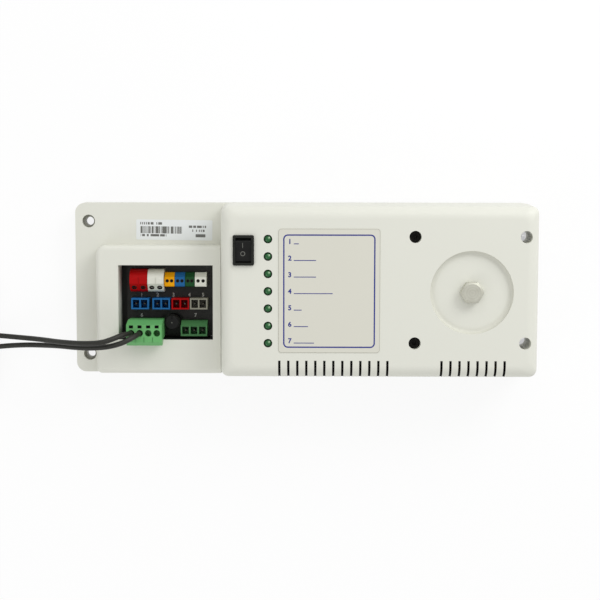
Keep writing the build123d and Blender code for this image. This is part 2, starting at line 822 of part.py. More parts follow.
def pair_socket(x):
    """Open two-way header: outer box with a web between its cavities."""
    half_x, half_y, rim, web_half = pair_size[0] / 2, pair_size[1] / 2, 0.9, 0.45
    body = slab(x - half_x, x + half_x, pair_y - half_y, pair_y + half_y, socket_board_top, pair_top)
    for x0, x1 in ((x - half_x + rim, x - web_half), (x + web_half, x + half_x - rim)):
        body -= slab(x0, x1, pair_y - half_y + rim, pair_y + half_y - rim, socket_board_top + 2.5,
                     pair_top + 1)
    return body


def three_way_header():
    """Header with a slanted back and one pit for each pin."""
    x0, x1 = three_way
    y0, y1 = three_way_y
    top, floor = three_way_top, socket_board_top + 2.5
    points = [(y0, socket_board_top), (y0, top), (y1 - 3.4, top), (y1, top - 4.5), (y1, socket_board_top)]
    body = side_profile(points, x0, x1)
    for x in three_way_ways_x:
        body -= Pos(x, three_way_pit_y, (floor + top + 1) / 2) * Box(*three_way_pit, top + 1 - floor)
    return body


def four_way_header():
    """Shroud under the plug, open above, that the plug's foot slides into."""
    body = slab(-plug_left + plug_end, plug_right - plug_end, *header_y, socket_board_top, header_top)
    cavity = slab(-plug_left + plug_end + header_wall, plug_right - plug_end - header_wall,
                  header_y[0] + header_wall, header_y[1] - header_wall, socket_board_top + 2.0,
                  header_top + 1)
    return body - cavity


def header_pins():
    """Square contact pins of the open headers and of the plug's header."""
    pins = []
    half = pin_width / 2
    places = []
    for x in pair_sockets.values():
        for side in (-1, 1):
            pin_x = x - window_left + side * pair_pitch / 2
            places.append((pin_x, pair_y, socket_board_top + 2.5, pair_top - 2.0))
    for x in three_way_ways_x:
        places.append((x, three_way_pit_y, socket_board_top + 2.5, three_way_top - 2.0))
    for x in plug_ways_x:
        places.append((x, -plug_hole_y + 1.8, socket_board_top + 2.0, header_top + 1.0))
    for x, y, z0, z1 in places:
        pins.append(slab(x - half, x + half, y - half, y + half, z0, z1))
    return pins


def connector_panel():
    """Dark panel over the socket board with a clearance hole for every terminal."""
    sheet = rounded_face(-panel_left, -panel_right, -panel_low, panel_high, panel_z, 1.0)
    panel = extrude(sheet, panel_thickness)
    below, above = panel_z - 1, panel_top + 1
    gap = row_gap
    for row, (y0, y1) in ((large_terminals, large_y), (small_terminals, small_y)):
        for x0, x1 in row.values():
            panel -= slab(x0 - window_left - gap, x1 - window_left + gap, y0 - gap, y1 + gap, below, above)
    for x in pair_sockets.values():
        half_x, half_y = pair_size[0] / 2 + gap, pair_size[1] / 2 + gap
        panel -= slab(x - window_left - half_x, x - window_left + half_x, pair_y - half_y, pair_y + half_y,
                      below, above)
    panel -= slab(three_way[0] - gap, three_way[1] + gap, three_way_y[0] - gap, three_way_y[1] + gap,
                  below, above)
    panel -= slab(-plug_left + plug_end - gap, plug_right - plug_end + gap,
                  header_y[0] - 1, header_y[1] + gap, below, above)
    panel -= round_bar(-fuse_x - 0.9, -fuse_y - 1.4, below, above, fuse_cutout)
    for x, y in panel_foot_places:
        panel += round_bar(x, y, socket_board_top, panel_z + bite, panel_foot)
    return panel


panel_foot_places = [(-panel_left + 2, panel_high - 2), (-panel_right - 2, panel_high - 2),
                     (-panel_right - 2, 14.5 - panel_low), (-panel_left + 2, 15.1 - panel_low)]


def fuse_holder():
    """Tube on the socket board that takes the fuse and its cap."""
    tube = round_bar(-fuse_x, -fuse_y, socket_board_top, fuse_holder_top, fuse_holder_size)
    return tube - round_bar(-fuse_x, -fuse_y, socket_board_top + 1.0, fuse_holder_top + 1,
                            fuse_stem + 2 * running_gap)


def fuse_link():
    low = socket_board_top + 1.0
    return round_bar(-fuse_x, -fuse_y, low, low + fuse_link_height, fuse_link_size)


def fuse_cap():
    """Cap with a stem in the tube and a screwdriver notch that shows its turn."""
    stem_low = socket_board_top + 1.0 + fuse_link_height + moving_gap
    head_low = fuse_holder_top + moving_gap
    cap = round_bar(-fuse_x, -fuse_y, head_low, fuse_cap_top, fuse_cap_size)
    cap = chamfer(cap.edges().group_by(Axis.Z)[-1], 0.5)
    cap += round_bar(-fuse_x, -fuse_y, stem_low, head_low, fuse_stem)
    notch = slab(-fuse_x - 0.5, -fuse_x + 0.5, -fuse_y + 2.2, -fuse_y + 5,
                 fuse_cap_top - 1.0, fuse_cap_top + 1)
    return cap - notch


def plug_body():
    """Four-way spring-clamp plug: slanted back, release slots, wire holes and foot."""
    stop = header_top + 0.2
    foot_y, top_y = header_y[0], header_y[1] + 0.2
    lip_y = foot_y - 4.2
    points = [(top_y, stop), (top_y, plug_front - 9), (top_y - 2.4, plug_front), (lip_y + 2.4, plug_front),
              (lip_y, plug_front - 2.6), (lip_y, plug_front - 7), (foot_y - 0.7, box_height + 1.4),
              (foot_y, box_height + 0.6), (foot_y, stop)]
    body = side_profile(points, -plug_left, plug_right)
    inset_foot = header_wall + fit_gap
    body += slab(-plug_left + plug_end + inset_foot, plug_right - plug_end - inset_foot,
                 header_y[0] + inset_foot, header_y[1] - inset_foot, header_top - 4.0, stop)
    for x in plug_ways_x:
        body -= round_bar(x, -plug_hole_y, plug_front - plug_hole_depth, plug_front + 1, plug_hole)
        body -= slab(x - 1.3, x + 1.3, top_y - 4.6, top_y - 3.1, plug_front - 5, plug_front + 1)
        body -= slab(x - 1.0, x + 1.0, -plug_hole_y + 0.8, -plug_hole_y + 2.8, header_top - 5,
                     header_top + 1.5)
    for i in range(1, plug_ways):
        x = -plug_left + plug_end + plug_pitch * i
        body -= slab(x - 0.25, x + 0.25, lip_y + 1.8, lip_y + 5.6, plug_front - 0.5, plug_front + 1)
    return body


coil_total = 2 * coil_turns + coil_climb

# Leads: the routes' points are chosen by hand, from the plug to the coil on the ground
floor_z = lead_size / 2
lead_start_z = plug_front - plug_hole_depth
lead_one_points = [
    (plug_ways_x[0], -plug_hole_y, lead_start_z), (plug_ways_x[0], -plug_hole_y, 37.0),
    (-114.3, -27.2, 44.5), (-120.5, -29.7, 50.1), (-127.1, -31.7, 52.3), (-136.7, -32.5, 50.0),
    (-147.3, -32.6, 45.2), (-158.0, -32.7, 37.4), (-168.6, -32.6, 27.6), (-180.0, -32.7, 18.6),
    (-193.0, -32.6, 11.0), (-203.6, -32.2, 7.2),
]
lead_two_points = [
    (plug_ways_x[1], -plug_hole_y, lead_start_z), (plug_ways_x[1], -plug_hole_y, 37.4),
    (-109.4, -29.8, 44.0), (-114.6, -32.5, 46.8), (-123.7, -34.9, 47.6), (-134.7, -35.9, 45.2),
    (-145.4, -36.1, 40.4), (-157.0, -35.9, 33.3), (-168.0, -36.6, 24.6), (-180.0, -37.3, 16.4),
    (-193.0, -38.5, 10.2), (-203.6, -39.8, 7.0),
]
lead_one_coil_centre = (-228.0, -10.0)
lead_two_coil_centre = (-228.0, -62.0)
last_run = 10.0


def turn_radii(points):
    """Radius at each inner point: 0.45 of the shorter run over the tangent of half the turn."""
    radii = []
    for a, b, c in zip(points, points[1:], points[2:]):
        first, second = Vector(*b) - Vector(*a), Vector(*c) - Vector(*b)
        half_turn = radians(first.get_angle(second)) / 2
        radii.append(0.45 * min(first.length, second.length) / tan(half_turn))
    return radii


def lead_tube(name, points):
    """Round tube along straight runs joined by tangent arcs."""
    radii = turn_radii(points)
    path = FilletPolyline(*points, radius=radii)
    start = Plane(origin=points[0], z_dir=Vector(*points[1]) - Vector(*points[0]))
    tube = sweep(start * Circle(lead_size / 2), path=path)
    section = pi * lead_size ** 2 / 4
    print(name, "radii", [round(r, 1) for r in radii], "length", round(path.length, 1),
          "volume ratio", round(tube.volume / (section * path.length), 4))
    return tube, path


def coil_point(centre, sense, turns):
    """Point of the coil after some turns: in on the upper layer, a climb down, out on the ground."""
    angle = sense * (pi / 2 + 2 * pi * turns)
    beyond = turns - coil_turns
    if beyond <= 0:
        radius, z = coil_inner - coil_pitch * beyond, floor_z + coil_layer
    elif beyond <= coil_climb:
        share = beyond / coil_climb
        radius, z = coil_inner, floor_z + coil_layer * (1 - share * share * (3 - 2 * share))
    else:
        radius, z = coil_inner + coil_pitch * (beyond - coil_climb), floor_z
    return Vector(centre[0] + radius * cos(angle), centre[1] + radius * sin(angle), z)


def coil_heading(centre, sense, turns):
    """Direction of travel along the coil, level at its two ends."""
    step = 1e-4
    before, after = max(turns - step, 0), min(turns + step, coil_total)
    heading = coil_point(centre, sense, after) - coil_point(centre, sense, before)
    if turns in (0, coil_total):
        heading = Vector(-1, 0, 0)
    return heading.normalized()


def biarc(p0, t0, p1, t1):
    """Two arcs that meet smoothly, from p0 heading t0 to p1 heading t1."""
    chord = p1 - p0
    both = t0 + t1
    a = 2 * (1 - t0.dot(t1))
    b = chord.dot(both)
    c = chord.dot(chord)
    if abs(a) < 1e-9:
        reach = c / (2 * b)
    else:
        reach = (-b + sqrt(b * b + a * c)) / a
    joint = (p0 + p1 + (t0 - t1) * reach) * 0.5
    middle = (joint - p0 - t0 * reach)
    heading = middle.normalized() if middle.length > 1e-9 else t0
    return [TangentArc(p0, joint, tangent=t0), TangentArc(joint, p1, tangent=heading)]


def lead_coil(name, centre, sense):
    """Put-away coil as one unbroken tube, with straight ends one diameter long."""
    end = coil_total
    steps = round(end * 4)
    places = [coil_point(centre, sense, end * i / steps) for i in range(steps + 1)]
    headings = [coil_heading(centre, sense, end * i / steps) for i in range(steps + 1)]
    edges = [Line(places[0] - headings[0] * lead_size, places[0])]
    for i in range(steps):
        edges += biarc(places[i], headings[i], places[i + 1], headings[i + 1])
    edges.append(Line(places[-1], places[-1] + headings[-1] * lead_size))
    path = Wire([e for piece in edges for e in piece.edges()])
    start = Plane(origin=places[0] - headings[0] * lead_size, z_dir=headings[0])
    tube = sweep(start * Circle(lead_size / 2), path=path)
    samples = 240
    points = [coil_point(centre, sense, end * i / samples) for i in range(samples + 1)]
    apart = int(samples / end * 0.5)
    least = min((points[i] - points[j]).length for i in range(samples) for j in range(i + apart, samples + 1))
    print(name, "least gap to itself", round(least - lead_size, 2), "length", round(path.length, 1))
    entry = places[0] - headings[0] * lead_size
    exit_place = places[-1] + headings[-1] * lead_size
    return tube, path.length, entry, headings[0], exit_place


def ferrule(place, heading):
    """Crimped end: plastic collar over the insulation and a thin metal sleeve."""
    start = Plane(origin=place, z_dir=heading)
    collar = extrude(start * Circle(lead_size / 2), ferrule_collar_length)
    sleeve = extrude(start.offset(ferrule_collar_length) * Circle(ferrule_size / 2), ferrule_length)
    return collar + sleeve


def main():
    os.makedirs("parts", exist_ok=True)
    nodes = {
        "base_housing": base_housing(),
        "rear_plate": rear_plate(),
        "plate_screws": plate_screws(),
        "front_cover": front_cover(),
        "front_label": front_label(),
        "rating_sticker": rating_sticker(),
        "cover_pillars": cover_pillars(),
        "cover_screws": cover_screws(),
        "transformer_ring": transformer_ring(),
        "transformer_pads": transformer_pads(),
        "pressure_disc": pressure_disc(),
        "bolt_washer": bolt_washer(),
        "clamp_bolt": clamp_bolt(),
        "clamp_nut": clamp_nut(),
        "switch_housing": switch_housing(),
        "switch_rocker": switch_rocker(),
        "switch_blades": switch_blades(),
        "main_board": main_board(),
        "socket_board": socket_board(),
        "led_board": led_board(),
        "board_spacers": board_spacers(),
        "board_screws": board_screws(),
        "status_leds": status_leds(),
        "led_ribbon": led_ribbon(),
        "capacitors": capacitors(),
        "relays": relays(),
        "heatsink": heatsink(),
        "power_transistors": power_transistors(),
        "controller_chip": controller_chip(),
        "header_three_way": three_way_header(),
        "header_four_way": four_way_header(),
        "header_pins": header_pins(),
        "connector_panel": connector_panel(),
        "fuse_holder": fuse_holder(),
        "fuse_link": fuse_link(),
        "fuse_cap": fuse_cap(),
        "plug_body": plug_body(),
    }
    for name, (x0, x1) in large_terminals.items():
        nodes[name] = large_terminal(x0 - window_left, x1 - window_left)
    for name, (x0, x1) in small_terminals.items():
        nodes[name] = small_terminal(x0 - window_left, x1 - window_left)
    for name, x in pair_sockets.items():
        nodes[name] = pair_socket(x - window_left)
    paths = []
    for name, points, centre, sense in (
        ("lead_one", lead_one_points, lead_one_coil_centre, -1),
        ("lead_two", lead_two_points, lead_two_coil_centre, 1),
    ):
        coil, coil_length, entry, heading, end = lead_coil(name + "_coil", centre, sense)
        route = points + [tuple(entry - heading * last_run), tuple(entry)]
        tube, path = lead_tube(name, route)
        paths.append([path @ (i / 300) for i in range(301)])
        print(name, "whole length", round(path.length + coil_length, 1))
        nodes[name] = tube
        nodes[name + "_coil"] = coil
        nodes[name + "_ferrule"] = ferrule(end, heading)
    apart = min((a - b).length for a in paths[0] for b in paths[1]) - lead_size
    print("least gap between the two leads", round(apart, 2))
    for name, shape in nodes.items():
        if isinstance(shape, (list, tuple)):
            shape = Compound(children=[s for piece in shape for s in piece.solids()])
        export_step(shape, "parts/" + name + ".step")


main()
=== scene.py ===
from math import copysign, cos, pi, radians, sin, tan

import bpy
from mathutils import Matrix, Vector


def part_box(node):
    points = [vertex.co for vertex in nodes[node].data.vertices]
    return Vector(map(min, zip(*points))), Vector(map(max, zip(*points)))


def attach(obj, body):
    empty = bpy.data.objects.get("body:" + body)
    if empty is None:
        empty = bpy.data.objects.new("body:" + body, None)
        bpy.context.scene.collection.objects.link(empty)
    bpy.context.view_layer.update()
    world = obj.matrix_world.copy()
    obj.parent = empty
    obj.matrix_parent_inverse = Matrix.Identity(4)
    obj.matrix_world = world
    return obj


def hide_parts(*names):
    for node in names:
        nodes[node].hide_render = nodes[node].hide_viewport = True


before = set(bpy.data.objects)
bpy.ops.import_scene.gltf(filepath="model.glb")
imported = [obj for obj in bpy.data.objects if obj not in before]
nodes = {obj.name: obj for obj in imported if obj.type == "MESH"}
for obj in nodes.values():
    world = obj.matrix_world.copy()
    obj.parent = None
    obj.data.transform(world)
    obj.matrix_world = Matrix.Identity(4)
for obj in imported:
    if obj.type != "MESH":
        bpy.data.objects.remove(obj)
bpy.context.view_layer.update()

# The object's sizes and places are given in millimetres, and its angles in degrees
mm = 0.001


def place(x, y, z):
    """A place in metres, as Blender needs it."""
    return (x * mm, y * mm, z * mm)


def middle(name):
    """Middle of a CAD node's box, as X, Y and Z."""
    return [(low + high) / 2 / mm for low, high in zip(*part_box(name))]


def top(name):
    """Height of a CAD node's highest point."""
    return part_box(name)[1].z / mm


# Small working steps
def deselect():
    bpy.ops.object.select_all(action="DESELECT")


def pick(piece):
    """Selects one piece and nothing else."""
    deselect()
    piece.select_set(True)
    bpy.context.view_layer.objects.active = piece


def settle(piece):
    """Puts the piece's place into its mesh."""
    pick(piece)
    bpy.ops.object.transform_apply(location=True, rotation=True, scale=True)


def edit(piece):
    pick(piece)
    bpy.ops.object.mode_set(mode="EDIT")


def leave_edit():
    bpy.ops.object.mode_set(mode="OBJECT")


def hand_over(piece, name, body, material):
    """Names a finished piece, paints it and lets it ride."""
    settle(piece)
    piece.name = name
    piece.data.name = name
    piece.data.materials.clear()
    piece.data.materials.append(material)
    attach(piece, body)


# Working steps in a node tree
def feed(tree, value, socket):
    """Links another socket to this one, or sets it to a plain value. A colour has three numbers."""
    if isinstance(value, bpy.types.NodeSocket):
        tree.links.new(value, socket)
    elif socket.type == "RGBA":
        socket.default_value = value + (1.0,)
    else:
        socket.default_value = value


def node(tree, kind, **settings):
    """Adds a node and sets its inputs and properties by name, with _ for a space."""
    made = tree.nodes.new(kind)
    for key, value in settings.items():
        label = key.replace("_", " ")
        if label in made.inputs:
            feed(tree, value, made.inputs[label])
        else:
            setattr(made, key, value)
    return made


def use(tree, group, **values):
    """Places a shader group and hands back its outputs."""
    return node(tree, "ShaderNodeGroup", node_tree=group, **values).outputs


def sums(tree, operation, a, b=None, c=None, clamp=False):
    """One Math node between sockets or numbers."""
    made = node(tree, "ShaderNodeMath", operation=operation, use_clamp=clamp)
    for value, socket in zip((a, b, c), made.inputs):
        if value is not None:
            feed(tree, value, socket)
    return made.outputs[0]


def blend_colours(tree, share, first, second):
    """The first colour where the share is nought, and the second where it is one."""
    made = node(tree, "ShaderNodeMix", data_type="RGBA")
    for index, value in ((0, share), (6, first), (7, second)):
        feed(tree, value, made.inputs[index])
    return made.outputs[2]


def object_place(tree):
    return node(tree, "ShaderNodeTexCoord").outputs["Object"]


def split(tree, vector):
    """X, Y and Z of a vector."""
    return node(tree, "ShaderNodeSeparateXYZ", Vector=vector).outputs


def noise(tree, where, **settings):
    return node(tree, "ShaderNodeTexNoise", Vector=where, **settings).outputs["Fac"]


def ramp(tree, value, start, end, kind="SMOOTHSTEP"):
    """Nought at the start, one at the end, with a soft or LINEAR rise between them."""
    made = node(tree, "ShaderNodeMapRange", interpolation_type=kind, Value=value, From_Min=start,
                From_Max=end)
    return made.outputs["Result"]


def squares(tree, across, along):
    """Square of the distance from a centre."""
    return sums(tree, "ADD", sums(tree, "POWER", across, 2.0), sums(tree, "POWER", along, 2.0))


def distance(tree, across, along):
    return sums(tree, "SQRT", squares(tree, across, along))


def all_of(tree, *masks):
    """One where every mask is one."""
    joined = masks[0]
    for mask in masks[1:]:
        joined = sums(tree, "MULTIPLY", joined, mask)
    return joined


def any_of(tree, *masks):
    """One where at least one mask is one."""
    joined = masks[0]
    for mask in masks[1:]:
        joined = sums(tree, "ADD", joined, mask, clamp=True)
    return joined


# Shader groups shared by several finishes
COLOUR, NUMBER, VECTOR = "NodeSocketColor", "NodeSocketFloat", "NodeSocketVector"


def new_group(name, inputs, outputs):
    """An empty group with named inputs and outputs, and the sockets that its nodes meet."""
    tree = bpy.data.node_groups.new(name, "ShaderNodeTree")
    for label, kind, value in inputs:
        socket = tree.interface.new_socket(label, in_out="INPUT", socket_type=kind)
        socket.default_value = value
    for label, kind in outputs:
        tree.interface.new_socket(label, in_out="OUTPUT", socket_type=kind)
    return tree, tree.nodes.new("NodeGroupInput").outputs, tree.nodes.new("NodeGroupOutput").inputs


def moulded_skin_group():
    """Fine spark-eroded grain with broad, faint unevenness in tone."""
    tree, given, out = new_group(
        "moulded_skin",
        [("Colour", COLOUR, (0.8, 0.8, 0.8, 1)), ("Shade", COLOUR, (0.7, 0.7, 0.7, 1)),
         ("Mottle", NUMBER, 0.3), ("Roughness", NUMBER, 0.45), ("Roughness spread", NUMBER, 0.08),
         ("Grain", NUMBER, 2500.0)],
        [("Colour", COLOUR), ("Roughness", NUMBER), ("Height", NUMBER)])
    speckle = 0.12
    where = object_place(tree)
    broad = noise(tree, where, Scale=38.0, Detail=4.0, Roughness=0.55)
    fine = noise(tree, where, Scale=given["Grain"], Detail=3.0, Roughness=0.6)
    clouds = sums(tree, "MULTIPLY", broad, given["Mottle"])
    share = sums(tree, "ADD", clouds, sums(tree, "MULTIPLY", fine, speckle), clamp=True)
    swing = sums(tree, "SUBTRACT", fine, 0.5)
    rough = sums(tree, "MULTIPLY_ADD", swing, given["Roughness spread"], given["Roughness"])
    feed(tree, blend_colours(tree, share, given["Colour"], given["Shade"]), out["Colour"])
    feed(tree, rough, out["Roughness"])
    feed(tree, fine, out["Height"])
    return tree


def settled_dust_group():
    """Thin dust that settles on faces that look up."""
    tree, given, out = new_group(
        "settled_dust",
        [("Colour", COLOUR, (0.5, 0.5, 0.5, 1)), ("Dust", COLOUR, (0.55, 0.53, 0.48, 1)),
         ("Amount", NUMBER, 0.1), ("Roughness", NUMBER, 0.5)],
        [("Colour", COLOUR), ("Roughness", NUMBER)])
    density, dullness = 2.2, 0.4
    where = object_place(tree)
    facing = split(tree, node(tree, "ShaderNodeTexCoord").outputs["Normal"])
    up = sums(tree, "MAXIMUM", facing["Z"], 0.0)
    clouds = noise(tree, where, Scale=160.0, Detail=5.0, Roughness=0.65)
    specks = noise(tree, where, Scale=1900.0, Detail=2.0, Roughness=0.5)
    patch = sums(tree, "MULTIPLY", sums(tree, "MULTIPLY", clouds, specks), density)
    share = sums(tree, "MULTIPLY", sums(tree, "MULTIPLY", patch, up), given["Amount"], clamp=True)
    rough = sums(tree, "ADD", given["Roughness"], sums(tree, "MULTIPLY", share, dullness), clamp=True)
    feed(tree, blend_colours(tree, share, given["Colour"], given["Dust"]), out["Colour"])
    feed(tree, rough, out["Roughness"])
    return tree


def turned_metal_group():
    """Concentric tool marks round an upright axis, broken up by fine scratches."""
    tree, given, out = new_group(
        "turned_metal",
        [("Place", VECTOR, (0, 0, 0)), ("Colour", COLOUR, (0.7, 0.7, 0.7, 1)),
         ("Stain", COLOUR, (0.5, 0.48, 0.43, 1)), ("Roughness", NUMBER, 0.35), ("Pitch", NUMBER, 9000.0)],
        [("Colour", COLOUR), ("Roughness", NUMBER), ("Height", NUMBER)])
    ring_tone, cloud_tone, scratch_dullness, ring_height = 0.09, 0.8, 0.22, 0.25
    parts = split(tree, given["Place"])
    radius = distance(tree, parts["X"], parts["Y"])
    rings = sums(tree, "SINE", sums(tree, "MULTIPLY", radius, given["Pitch"]))
    fine = noise(tree, given["Place"], Scale=1400.0, Detail=4.0, Roughness=0.7)
    broad = noise(tree, given["Place"], Scale=220.0, Detail=3.0, Roughness=0.5)
    clouds = sums(tree, "MULTIPLY", broad, cloud_tone)
    share = sums(tree, "MULTIPLY_ADD", rings, ring_tone, clouds, clamp=True)
    feed(tree, blend_colours(tree, share, given["Colour"], given["Stain"]), out["Colour"])
    feed(tree, sums(tree, "MULTIPLY_ADD", fine, scratch_dullness, given["Roughness"]), out["Roughness"])
    feed(tree, sums(tree, "MULTIPLY_ADD", rings, ring_height, fine), out["Height"])
    return tree


def printed_patch_group():
    """One inside a rectangle that lies in the XY plane, nought outside it."""
    tree, given, out = new_group(
        "printed_patch",
        [("Place", VECTOR, (0, 0, 0)), ("Left", NUMBER, 0.0), ("Right", NUMBER, 1.0), ("Low", NUMBER, 0.0),
         ("High", NUMBER, 1.0)],
        [("Mask", NUMBER)])
    parts = split(tree, given["Place"])
    sides = []
    for axis, low, high in (("X", "Left", "Right"), ("Y", "Low", "High")):
        sides.append(sums(tree, "GREATER_THAN", parts[axis], given[low]))
        sides.append(sums(tree, "LESS_THAN", parts[axis], given[high]))
    feed(tree, all_of(tree, *sides), out["Mask"])
    return tree


moulded_skin = moulded_skin_group()
settled_dust = settled_dust_group()
turned_metal = turned_metal_group()
printed_patch = printed_patch_group()


# Plain plastics and metals
def new_finish(name):
    material = bpy.data.materials.new(name)
    material.use_nodes = True
    tree = material.node_tree
    return material, tree, tree.nodes["Principled BSDF"]


def surface(tree, shader, colour, roughness, height, strength, depth=0.12):
    """Feeds a shader its colour, its roughness and a relief of a given depth."""
    feed(tree, colour, shader.inputs["Base Color"])
    feed(tree, roughness, shader.inputs["Roughness"])
    relief = node(tree, "ShaderNodeBump", Strength=strength, Distance=depth * mm, Height=height)
    feed(tree, relief.outputs["Normal"], shader.inputs["Normal"])


def toned(colour, factor):
    """A lighter or darker tone of a colour."""
    return tuple(min(1.0, part * factor) for part in colour)


def plastic(name, colour, shade=0.75, mottle=0.4, roughness=0.40, grain=2600.0, strength=0.12, dust=0.0,
            specular=0.5):
    """Moulded plastic in one colour and its shade, with grain and perhaps a trace of dust."""
    material, tree, shader = new_finish(name)
    skin = use(tree, moulded_skin, Colour=colour, Shade=toned(colour, shade), Mottle=mottle,
               Roughness=roughness, Roughness_spread=0.1, Grain=grain)
    film = skin
    if dust:
        film = use(tree, settled_dust, Colour=skin["Colour"], Roughness=skin["Roughness"], Amount=dust)
    surface(tree, shader, film["Colour"], film["Roughness"], skin["Height"], strength)
    shader.inputs["Specular IOR Level"].default_value = specular
    return material


def metal(name, colour, stain, roughness, centre_x=0.0, pitch=9000.0, strength=0.25):
    """Machined metal with round tool marks about an upright axis."""
    material, tree, shader = new_finish(name)
    centred = node(tree, "ShaderNodeMapping", Vector=object_place(tree), Location=place(-centre_x, 0, 0))
    marks = use(tree, turned_metal, Place=centred.outputs["Vector"], Colour=colour, Stain=stain,
                Roughness=roughness, Pitch=pitch)
    surface(tree, shader, marks["Colour"], marks["Roughness"], marks["Height"], strength, depth=0.05)
    shader.inputs["Metallic"].default_value = 1.0
    return material


bolt_x = middle("bolt_washer")[0]

black_finish = plastic("black_plastic", (0.0115, 0.0125, 0.0105), shade=1.5, mottle=0.5, roughness=0.42,
                       dust=0.02, specular=0.12)
gloss_black_finish = plastic("black_gloss", (0.0065, 0.0065, 0.0065), shade=1.6, roughness=0.30,
                             dust=0.015, specular=0.16)
panel_finish = plastic("panel_dark", (0.016, 0.016, 0.016), shade=1.5, mottle=0.6, roughness=0.5,
                       dust=0.06, specular=0.2)
board_finish = plastic("board_green", (0.012, 0.10, 0.035), shade=1.5, mottle=0.8, roughness=0.3,
                       dust=0.15)
dark_board_finish = plastic("board_dark", (0.010, 0.016, 0.012), shade=1.6, mottle=0.8, dust=0.1,
                            specular=0.2)
plug_finish = plastic("plug_green", (0.128, 0.425, 0.133), shade=0.85)
dark_green_finish = plastic("plug_green_dark", (0.070, 0.235, 0.080), shade=0.8, roughness=0.42,
                            specular=0.3)
red_finish = plastic("terminal_red", (0.43, 0.001, 0.002), specular=0.12)
pale_finish = plastic("terminal_grey", (0.75, 0.75, 0.665), shade=0.93, specular=0.3)
small_pale_finish = plastic("terminal_pale", (0.90, 0.90, 0.81), shade=0.95, specular=0.3)
yellow_finish = plastic("terminal_yellow", (0.98, 0.43, 0.001), shade=0.85, specular=0.12)
blue_finish = plastic("terminal_blue", (0.012, 0.140, 0.39), specular=0.2)
green_finish = plastic("terminal_green", (0.010, 0.084, 0.022), specular=0.2)
socket_grey_finish = plastic("socket_grey", (0.30, 0.29, 0.23), shade=0.85, roughness=0.42, specular=0.3)
sleeve_finish = plastic("capacitor_sleeve", (0.014, 0.014, 0.03), shade=1.5, roughness=0.22)
rubber_finish = plastic("rubber_pad", (0.02, 0.02, 0.02), shade=1.7, mottle=0.6, roughness=0.75,
                        strength=0.4)
ribbon_finish = plastic("ribbon_grey", (0.22, 0.22, 0.22), shade=0.8, roughness=0.5)
porcelain_finish = plastic("porcelain", (0.72, 0.72, 0.68), shade=0.9, mottle=0.3, roughness=0.2)
tape_finish = plastic("winding_tape", (0.60, 0.36, 0.04), shade=0.7, mottle=0.7, roughness=0.3)
blue_ink_finish = plastic("label_blue", (0.033, 0.043, 0.235), shade=1.2, mottle=0.5, roughness=0.45,
                          specular=0.2)
grey_ink_finish = plastic("panel_ink", (0.58, 0.58, 0.55), mottle=0.6, roughness=0.55)
rocker_ink_finish = plastic("rocker_ink", (0.20, 0.20, 0.18), mottle=0.6, roughness=0.5, specular=0.2)
edge_ink_finish = plastic("label_edge_grey", (0.40, 0.40, 0.34), shade=0.8, mottle=0.8)
# Near-black for the throats, painted shade in the terminals' wire mouths
throat_shade_finish = plastic("wire_throat", (0.014, 0.012, 0.010), shade=1.8, mottle=0.6, roughness=0.5,
                        specular=0.2)
# Near-black for plates that stand in for the shade inside openings
opening_shade_finish = plastic("dark_opening", (0.003, 0.003, 0.003), shade=1.5, roughness=0.9,
                              specular=0.02)
label_finish = plastic("label_film", (0.700, 0.690, 0.605), shade=0.97, mottle=0.5, roughness=0.36,
                       grain=1500.0, strength=0.08)

bolt_finish = metal("plated_steel_bolt", (0.71, 0.71, 0.63), (0.50, 0.49, 0.42), roughness=0.56,
                    centre_x=bolt_x, pitch=3900.0, strength=0.3)
steel_finish = metal("plated_steel", (0.60, 0.60, 0.58), (0.45, 0.44, 0.40), roughness=0.33, pitch=2500.0)
aluminium_finish = metal("aluminium", (0.58, 0.58, 0.59), (0.46, 0.46, 0.46), roughness=0.36,
                         pitch=1500.0)
black_steel_finish = metal("black_steel", (0.012, 0.012, 0.012), (0.030, 0.028, 0.025), roughness=0.38)
tin_finish = metal("tinned_brass", (0.13, 0.12, 0.10), (0.08, 0.075, 0.06), roughness=0.45, pitch=3000.0)


# The other finishes, each for one kind of piece
def well_floor_finish_made():
    """White that glows a little: painted light on a well's floor, standing in for the bright ground seen
    through the well.
    """
    material = plastic("well_floor", (0.80, 0.80, 0.80), shade=0.9, mottle=0.5, roughness=0.5)
    shader = material.node_tree.nodes["Principled BSDF"]
    shader.inputs["Emission Color"].default_value = (0.95, 0.95, 1.0, 1.0)
    shader.inputs["Emission Strength"].default_value = 0.42
    return material


lamp_x = -22.5
first_lamp_y = 33.5
lamp_pitch = 10.97


